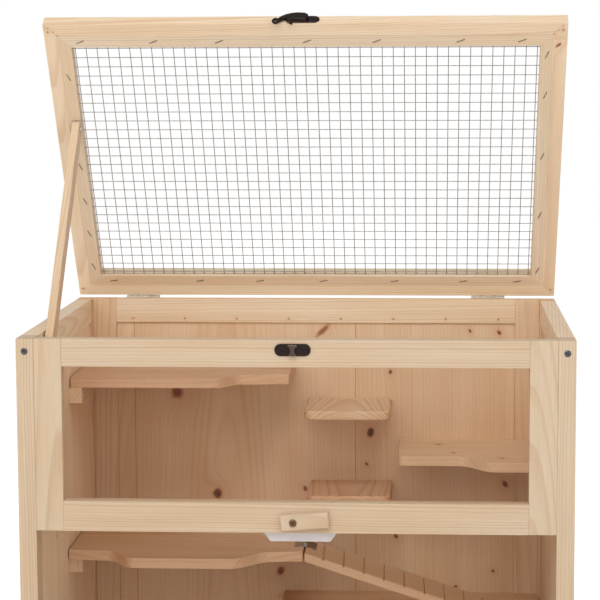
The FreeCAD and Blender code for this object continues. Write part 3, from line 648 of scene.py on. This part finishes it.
FINISHES = {
    "acrylic": acrylic("acrylic"),
    "white_plastic": plastic("white_plastic", rgb(229, 223, 222)),
    "dark_bronze": metal("dark_bronze", rgb(58, 46, 42), 0.24, 0.75),
    "black_steel": metal("black_steel", rgb(120, 120, 124), 0.34),
    "zinc_steel": metal("zinc_steel", rgb(186, 180, 168), 0.38),
    "wire": metal("wire", rgb(176, 168, 160), 0.42),
    "staple_wire": metal("staple_wire", rgb(150, 142, 132), 0.45),
}
for node, ob in NODES.items():
    slot = SLOT_OF[node]
    if slot in FINISHES:
        ob.data.materials.clear()
        ob.data.materials.append(FINISHES[slot])


BRONZE = FINISHES["dark_bronze"]
WORN_BRONZE = metal("worn_bronze", rgb(116, 99, 90), 0.26)


def raised(name, outline, back, front, round_by, body, node, matrix, material):
    """An outline in the XZ plane, in millimetres, thickened from back to front with a round rim."""
    bm = bmesh.new()
    face = bm.faces.new([bm.verts.new((x * MM, back * MM, z * MM)) for x, z in outline])
    out = bmesh.ops.extrude_face_region(bm, geom=[face])["geom"]
    ahead = {v for v in out if isinstance(v, bmesh.types.BMVert)}
    bmesh.ops.translate(bm, verts=list(ahead), vec=(0.0, (front - back) * MM, 0.0))
    bmesh.ops.recalc_face_normals(bm, faces=bm.faces)
    rim = [e for e in bm.edges if all(v in ahead for v in e.verts)]
    bmesh.ops.bevel(
        bm, geom=rim, offset=round_by * MM, segments=4, profile=0.5, affect="EDGES",
        clamp_overlap=True,
    )
    smooth_normals(place_piece(name, bm, matrix, body, node, material), 40.0)


def obround_outline(length, width):
    reach = (length - width) / 2
    points = []
    for side in (1, -1):
        for k in range(17):
            turn = math.radians(-90 + k * 180 / 16)
            points.append((side * (reach + width / 2 * math.cos(turn)), side * width / 2 * math.sin(turn)))
    return points


# A lug with a wide head, a waist and a foot, for the hook to catch on
LUG_OUTLINE = (
    (-5.4, 4.9), (-4.6, 5.9), (4.6, 5.9), (5.4, 4.9), (4.6, 3.2), (2.6, 2.2), (2.3, -1.6),
    (3.0, -3.4), (4.4, -4.6), (3.8, -5.8), (-3.8, -5.8), (-4.4, -4.6), (-3.0, -3.4),
    (-2.3, -1.6), (-2.6, 2.2), (-4.6, 3.2),
)
LATCH_X = -1.5
FRONT_Y = -200.0
CATCH_Z = 549.1
LATCH_Z = 569.0
PLATE_LENGTH = 39.0
PLATE_WIDTH = 13.4
catch_place = Matrix.Translation(Vector((LATCH_X, FRONT_Y, CATCH_Z)) * MM)
latch_place = rest_matrix("lid") @ Matrix.Translation(Vector((LATCH_X, FRONT_Y, LATCH_Z)) * MM)
PLATE = obround_outline(PLATE_LENGTH, PLATE_WIDTH)
raised("catch_plate_rim", PLATE, 0.0, -1.5, 0.7, "cabinet", "catch_plate", catch_place, BRONZE)
raised("catch_plate_lug", LUG_OUTLINE, -1.4, -5.7, 0.8, "cabinet", None, catch_place, WORN_BRONZE)
raised("latch_plate_rim", PLATE, 0.0, -1.5, 0.7, "lid", "latch_plate", latch_place, BRONZE)

# The hook's outline in the lid's front face, from its rivet: leftwards is -X
HOOK_OUTLINE = (
    (7.0, 0.0), (6.2, 3.4), (3.6, 5.8), (-1.0, 6.9), (-7.0, 7.0), (-13.0, 5.8), (-18.5, 3.4),
    (-23.0, 0.2), (-26.4, -3.6), (-28.8, -7.0), (-27.0, -9.6), (-24.6, -6.4), (-22.0, -4.2),
    (-19.6, -3.6), (-18.0, -5.4), (-16.4, -8.6), (-14.4, -11.4), (-11.8, -13.8), (-10.6, -12.8),
    (-12.4, -9.8), (-13.2, -6.8), (-11.0, -5.6), (-6.0, -6.2), (0.0, -6.8), (4.0, -5.6),
    (6.4, -3.0),
)


HOOK_BALL_R = 0.0045
HOOK_BALL_AT = (-30.0, -5.1, -10.4)


def hook_ball():
    """The ball that the hook is pulled by."""
    bm = bmesh.new()
    bmesh.ops.create_uvsphere(bm, u_segments=32, v_segments=20, radius=HOOK_BALL_R)
    bmesh.ops.scale(bm, verts=bm.verts, vec=(1.0, 0.72, 1.06))
    place = latch_place @ Matrix.Translation(Vector(HOOK_BALL_AT) * MM)
    smooth_normals(place_piece("latch_hook_ball", bm, place, "hook", None, BRONZE), 60.0)


raised("latch_hook_body", HOOK_OUTLINE, -1.8, -6.2, 1.2, "hook", "latch_hook", latch_place, BRONZE)
hook_ball()
eased("prop_bracket", metal("pale_zinc", rgb(232, 220, 204), 0.5, 0.4), 0.0002)
for node in ("lid_hinge_fixed_leaves", "lid_hinge_moving_leaves", "door_hinge_leaves"):
    eased(node, FINISHES["zinc_steel"], 0.0002)


# Screws

def screw(name, body, node, matrix, radius, dome, length, shank, material):
    """A cross-slotted screw with its head's underside at Z = 0, its head up and its shank down."""
    around = 64
    rows = [(radius * k / 14.0, None) for k in range(15)]
    rows += [(radius, 0.0), (shank, 0.0), (shank, -length * 0.75), (0.0002, -length)]
    bm = bmesh.new()
    rings = []
    for r, z in rows:
        ring = []
        for k in range(around):
            turn = 2 * math.pi * k / around
            x, y = r * math.cos(turn), r * math.sin(turn)
            height = z
            if height is None:
                height = dome * (0.45 + 0.55 * math.sqrt(max(0.0, 1.0 - (r / radius) ** 2)))
                slot = min(abs(x), abs(y)) / (0.16 * radius)
                reach = max(abs(x), abs(y)) / (0.58 * radius)
                inside = max(0.0, 1.0 - slot ** 4) * max(0.0, 1.0 - reach ** 4)
                height -= inside * dome * 0.75
            ring.append(bm.verts.new((x, y, height)))
        rings.append(ring)
    for low, high in zip(rings, rings[1:]):
        for k in range(around):
            bm.faces.new((low[k], low[(k + 1) % around], high[(k + 1) % around], high[k]))
    bm.faces.new(rings[-1][::-1])
    bmesh.ops.remove_doubles(bm, verts=bm.verts, dist=1e-6)
    bmesh.ops.recalc_face_normals(bm, faces=bm.faces)
    smooth_normals(place_piece(name, bm, matrix, body, node, material), 50.0)


def facing_front(x, y, z, turn=0.0):
    """A frame at a point in millimetres whose Z axis looks out of the front."""
    place = Matrix.Translation(Vector((x, y, z)) * MM)
    return place @ Matrix.Rotation(math.radians(90.0), 4, "X") @ Matrix.Rotation(math.radians(turn), 4, "Z")


STEEL = FINISHES["black_steel"]
for number, (x, z, turn) in enumerate(
    ((-290.6, 546.3, 20.0), (290.6, 546.3, 63.0), (-290.6, 13.7, 38.0), (290.6, 13.7, 5.0))
):
    place = facing_front(x, -198.1, z, turn)
    screw("post_screw_" + str(number), "cabinet", "post_screws", place, 0.004, 0.0022, 0.050, 0.002, STEEL)
screw(
    "button_screw", "cabinet", "turn_button_screw", facing_front(-1.5, -209.6, 363.0, 28.0),
    0.004, 0.0022, 0.0196, 0.002, metal("brown_bronze", rgb(138, 108, 84), 0.3),
)
shut_lid = rest_matrix("lid")
for number, side in enumerate((-13.3, 13.3)):
    catch = facing_front(-1.5 + side, -201.5, 549.1, 40.0 + 50.0 * number)
    screw("catch_screw_" + str(number), "cabinet", None, catch, 0.0026, 0.0008, 0.010, 0.0012, BRONZE)
    latch = shut_lid @ facing_front(-1.5 + side, -201.5, 569.0, 15.0 + 40.0 * number)
    screw("latch_screw_" + str(number), "lid", None, latch, 0.0026, 0.0003, 0.010, 0.0012, BRONZE)


# Floor, light and camera

def stage_floor():
    mesh = bpy.data.meshes.new("floor")
    bm = bmesh.new()
    bmesh.ops.create_grid(bm, x_segments=8, y_segments=8, size=9.0)
    bm.to_mesh(mesh)
    bm.free()
    floor = bpy.data.objects.new("floor", mesh)
    bpy.context.scene.collection.objects.link(floor)
    floor.location.z = cad_box[0][2] - 0.0005
    material, t, shader = new_material("floor")
    shader.inputs["Base Color"].default_value = (0.93, 0.93, 0.93, 1.0)
    shader.inputs["Roughness"].default_value = 0.9
    shader.inputs["Emission Color"].default_value = (1.0, 1.0, 1.0, 1.0)
    seen = t.add("ShaderNodeLightPath").outputs["Is Camera Ray"]
    t.put(shader.inputs["Emission Strength"], t.math("MULTIPLY_ADD", seen, 0.5, 0.10))
    mesh.materials.append(material)


def area_light(name, place, target, size, power, colour=(1.0, 1.0, 1.0)):
    light = bpy.data.lights.new(name, "AREA")
    light.shape = "RECTANGLE"
    light.size, light.size_y = size
    light.energy = power
    light.color = colour
    ob = bpy.data.objects.new(name, light)
    bpy.context.scene.collection.objects.link(ob)
    ob.location = place
    ob.rotation_euler = (Vector(target) - Vector(place)).to_track_quat("-Z", "Y").to_euler()


def light_scene():
    """A white surround to look at, a dimmer one to light by, and three soft lights."""
    world = bpy.data.worlds.new("studio")
    bpy.context.scene.world = world
    world.use_nodes = True
    t = Tree(world.node_tree)
    seen = t.add("ShaderNodeLightPath").outputs["Is Camera Ray"]
    up = t.split(t.add("ShaderNodeTexCoord").outputs["Generated"])[2]
    dim = t.step(up, 0.1, 1.0, 0.74, 0.32)
    background = world.node_tree.nodes["Background"]
    background.inputs["Color"].default_value = (1.0, 1.0, 1.0, 1.0)
    t.put(background.inputs["Strength"], t.math("MAXIMUM", seen, dim))
    area_light("key", (-0.9, -2.4, 1.7), (0.0, 0.0, 0.5), (0.9, 0.9), 11.0)
    area_light("high", (0.1, -1.7, 2.5), (0.0, 0.0, 0.5), (1.4, 0.9), 23.0)
    area_light("fill", (1.5, -2.3, 0.9), (0.0, 0.0, 0.45), (0.9, 0.9), 4.0)


def add_camera():
    camera = bpy.data.cameras.new("camera")
    camera.sensor_width = 36.0
    camera.lens = 120.53
    camera.shift_x = -0.0333
    camera.shift_y = -0.0062
    camera.clip_end = 60.0
    ob = bpy.data.objects.new("camera", camera)
    bpy.context.scene.collection.objects.link(ob)
    ob.location = (0.1461, -2.318, 0.845)
    pitch = Matrix.Rotation(math.radians(90.0 - 6.407), 4, "X")
    yaw = Matrix.Rotation(math.radians(3.191), 4, "Z")
    roll = Matrix.Rotation(math.radians(-0.187), 4, "Z")
    ob.rotation_euler = (yaw @ pitch @ roll).to_euler()
    bpy.context.scene.camera = ob


stage_floor()
light_scene()
add_camera()
bpy.context.scene.view_settings.view_transform = "Standard"
